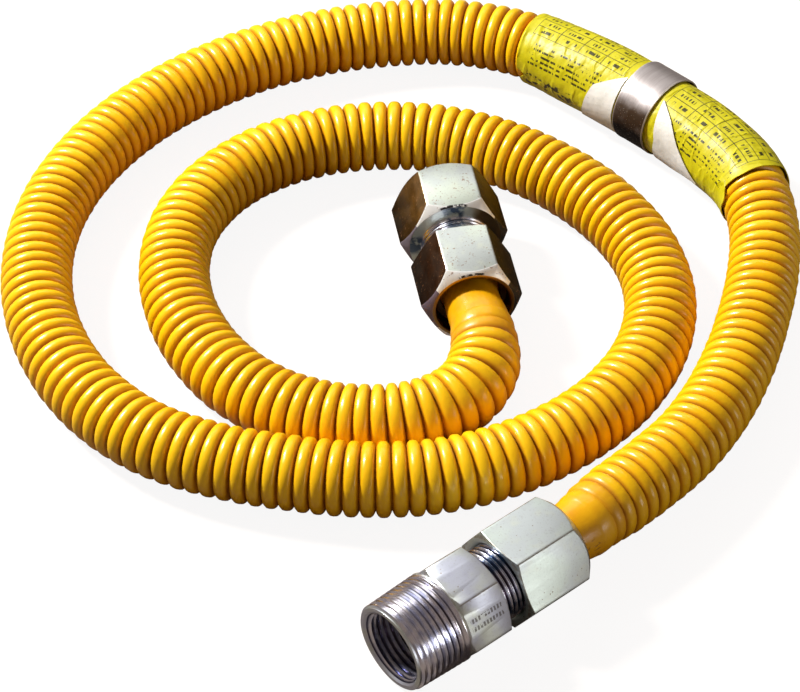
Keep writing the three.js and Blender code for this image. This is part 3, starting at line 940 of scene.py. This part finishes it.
SLEEVE_FROM, SLEEVE_TO = 169.5, 270.5
BAND_FROM, BAND_TO = 215.5, 228.5
WRAP_ANGLES = np.radians(np.arange(72) * 5.0)


def toward(angles):
    """Degrees from the top toward the side away from the left, for columns measured from the left."""
    return (np.degrees(np.arctan2(-np.cos(angles), np.sin(angles))) + 180) % 360 - 180


# the film's two ends: bearing and run
FILM_END_NEAR = np.array([
    [-180, 171], [-110, 170], [-73, 168.2], [-60, 172.5], [-25, 172], [20, 173.5], [60, 175.3], [110, 173],
    [180, 171],
])
FILM_END_FAR = np.array([
    [-180, 269], [-112, 269.5], [-99, 266.4], [-90, 270.2], [0, 270.6], [60, 270.3], [120, 269.2], [180, 269],
])
FILM_THICK, FILM_ROWS = 0.28, 100
# folded corners: their thickness, the radius at which they are cut out, and their gap to the film
FOLD_THICK, FOLD_RADIUS, FOLD_OFF_FILM = 0.22, 12.4, 0.3


def film_radius(run, bearing):
    """Outside of the film: fuller near the band, with the ribs just showing and soft creases."""
    from_end = np.minimum(run - SLEEVE_FROM, SLEEVE_TO - run)
    swell = np.clip(from_end / 26, 0, 1)
    swell = swell * swell * (3 - 2 * swell)
    near_band = np.clip(1 - np.abs(run - (BAND_FROM + BAND_TO) / 2) / 14, 0, 1)
    rad = 11.5 + 0.72 * swell
    rad = rad + 0.07 * np.cos(2 * math.pi * run / RIB_PITCH) * (1 - swell)
    round_it = np.radians(bearing)
    creases = np.sin(round_it * 5 + run * 0.12) + 0.6 * np.sin(round_it * 9 - run * 0.21)
    rad = rad + creases * (0.05 + 0.08 * swell) * (1 - 0.75 * near_band)
    return rad - 0.12 * near_band


def sleeve():
    bearing = toward(WRAP_ANGLES)
    near = np.interp(bearing, FILM_END_NEAR[:, 0], FILM_END_NEAR[:, 1])
    far = np.interp(bearing, FILM_END_FAR[:, 0], FILM_END_FAR[:, 1])
    outer, inner = [], []
    for share in np.linspace(0, 1, FILM_ROWS):
        run = near + (far - near) * share
        rad = film_radius(run, bearing)
        outer.append(np.column_stack([rad, run]))
        inner.append(np.column_stack([rad - FILM_THICK, run]))
    bm = ring_columns(WRAP_ANGLES, outer + inner[::-1], True)
    return piece("film_sleeve", bm, "hose_body", sleeve_finish(), along_hose, ["rating_sleeve"])


def band():
    rows = []
    for r, s in (
        (12.78, BAND_FROM), (13.0, BAND_FROM + 0.12), (13.06, BAND_FROM + 0.5), (12.98, BAND_FROM + 3),
        (12.98, BAND_TO - 3), (13.06, BAND_TO - 0.5), (13.0, BAND_TO - 0.12), (12.78, BAND_TO),
        (12.6, BAND_TO - 0.05), (12.6, BAND_FROM + 0.05),
    ):
        dent = 0.06 * np.sin(3 * WRAP_ANGLES + 0.7) + 0.04 * np.sin(7 * WRAP_ANGLES + s)
        rows.append(np.column_stack([r + dent, np.full(len(WRAP_ANGLES), s)]))
    bm = ring_columns(WRAP_ANGLES, rows, True)
    return piece("band_strip_ring", bm, "hose_body", band_finish(), along_hose, ["sleeve_band"])


def folded_corner(name, outline, finish, lift):
    """A corner of the film folded back and laid on the sleeve, from its outline of run and bearing in degrees."""
    bm = bmesh.new()
    around = math.radians(1) * FOLD_RADIUS
    flat = [bm.verts.new((s, b * around, 0)) for s, b in outline]
    bm.faces.new(flat)
    spans = [(min(v.co[axis] for v in flat), max(v.co[axis] for v in flat)) for axis in (0, 1)]
    # cut into strips of a millimetre both ways, so that it can follow the sleeve
    for axis, (low, high) in enumerate(spans):
        for at in np.arange(low + 1.0, high, 1.0):
            where, way = [0, 0, 0], [0, 0, 0]
            where[axis], way[axis] = at, 1
            bmesh.ops.bisect_plane(bm, geom=[*bm.verts, *bm.edges, *bm.faces], plane_co=where, plane_no=way)
    bmesh.ops.solidify(bm, geom=bm.faces, thickness=FOLD_THICK)
    for v in bm.verts:
        run, bearing, z = v.co.x, v.co.y / around, v.co.z
        r = float(film_radius(np.array(run), np.array(bearing))) + FOLD_OFF_FILM + abs(z) + lift(run)
        a = math.radians(bearing)
        v.co = (-r * math.sin(a), r * math.cos(a), run)
    return piece(name, bm, "hose_body", finish, along_hose)


# ---------------------------------------------------------------- making

hose = coated_hose()
nuts = [
    flare_nut(
        "outer_nut", MALE_NUT, "male_nut", MALE_NUT_ZINC,
        about_end(MALE_LIP, MALE_HEADING, MALE_NUT_TURN), "male_end_nut",
    ),
    flare_nut(
        "inner_nut", FEMALE_NUT, "female_nut", FEMALE_NUT_ZINC,
        about_end(FEMALE_LIP, FEMALE_HEADING), "female_end_nut",
    ),
]
adapters = [male_adapter(), female_adapter()]
wrap = [sleeve(), band()]
folds_finish = fold_finish()
folds = [
    folded_corner(
        "fold_after_band",
        [(229.0, -24), (238.5, -57), (240, -79.5), (242, -118.5), (236, -126), (229.3, -130.5), (229.2, -64)],
        folds_finish, lift=lambda run: 0.25 * max(0.0, (run - 229) / 12),
    ),
    folded_corner(
        "fold_before_band",
        [
            (214, -25.5), (211, -84), (211.8, -130.5), (202, -119), (189, -103.5), (195, -87), (201, -70.5),
            (207.5, -45),
        ],
        folds_finish, lift=lambda run: 0.25 * max(0.0, (214 - run) / 20),
    ),
]

# ---------------------------------------------------------------- floor, backdrop and lamps

FLOOR_PAINT, FLOOR_GLOW, FLOOR_HALF = (0.18, 0.15, 0.13, 1), 0.91, 6.0
# light from all round: its warm tint and strength for the object, and white for the camera
ROUND_TINT, ROUND_LIGHT = (1.0, 0.80, 0.70, 1), 0.18
WHITE = (1.0, 1.0, 1.0, 1)


def pale_ground(name):
    """Pale floor: nearly white to the camera, with the object's shadow kept."""
    material = bpy.data.materials.new(name)
    material.use_nodes = True
    tree = material.node_tree
    tree.nodes.clear()
    paint = tree.nodes.new("ShaderNodeBsdfDiffuse")
    paint.inputs["Color"].default_value = FLOOR_PAINT
    glow = tree.nodes.new("ShaderNodeEmission")
    rays = tree.nodes.new("ShaderNodeLightPath")
    share = tree.nodes.new("ShaderNodeMath")
    share.operation = "MULTIPLY"
    share.inputs[1].default_value = FLOOR_GLOW
    tree.links.new(rays.outputs["Is Camera Ray"], share.inputs[0])
    tree.links.new(share.outputs[0], glow.inputs["Strength"])
    both = tree.nodes.new("ShaderNodeAddShader")
    tree.links.new(paint.outputs[0], both.inputs[0])
    tree.links.new(glow.outputs[0], both.inputs[1])
    out = tree.nodes.new("ShaderNodeOutputMaterial")
    tree.links.new(both.outputs[0], out.inputs["Surface"])
    return material


floor_form = bmesh.new()
bmesh.ops.create_grid(floor_form, x_segments=1, y_segments=1, size=FLOOR_HALF)
floor = as_object(floor_form, "floor")
floor.data.materials.append(pale_ground("pale_floor"))

world = bpy.data.worlds.new("studio")
bpy.context.scene.world = world
world.use_nodes = True
background = world.node_tree.nodes["Background"]
rays = world.node_tree.nodes.new("ShaderNodeLightPath")
tones = world.node_tree.nodes.new("ShaderNodeMix")
tones.data_type = "RGBA"
tones.inputs["A"].default_value, tones.inputs["B"].default_value = ROUND_TINT, WHITE
world.node_tree.links.new(rays.outputs["Is Camera Ray"], tones.inputs["Factor"])
world.node_tree.links.new(tones.outputs["Result"], background.inputs["Color"])
levels = world.node_tree.nodes.new("ShaderNodeMapRange")
levels.inputs["To Min"].default_value, levels.inputs["To Max"].default_value = ROUND_LIGHT, 1.0
world.node_tree.links.new(rays.outputs["Is Camera Ray"], levels.inputs["Value"])
world.node_tree.links.new(levels.outputs[0], background.inputs["Strength"])


def soft_lamp(name, at, aim, size, power):
    data = bpy.data.lights.new(name, "AREA")
    data.shape, data.size, data.size_y, data.energy = "RECTANGLE", size[0], size[1], power
    lamp = bpy.data.objects.new(name, data)
    lamp.location = at
    lamp.rotation_euler = (Vector(aim) - Vector(at)).to_track_quat("-Z", "Y").to_euler()
    bpy.context.scene.collection.objects.link(lamp)


soft_lamp("key_upper_left", (-0.92, 0.5, 1.0), (0, 0, 0), (0.24, 0.24), 35.0)
soft_lamp("softbox_behind", (-0.22, 1.3, 1.2), (0, 0, 0), (1.75, 1.1), 7.9)
soft_lamp("side_panel_right", (1.2, -0.63, 0.22), (0, -0.05, 0), (0.62, 0.42), 2.9)

bpy.context.scene.view_settings.view_transform = "Standard"
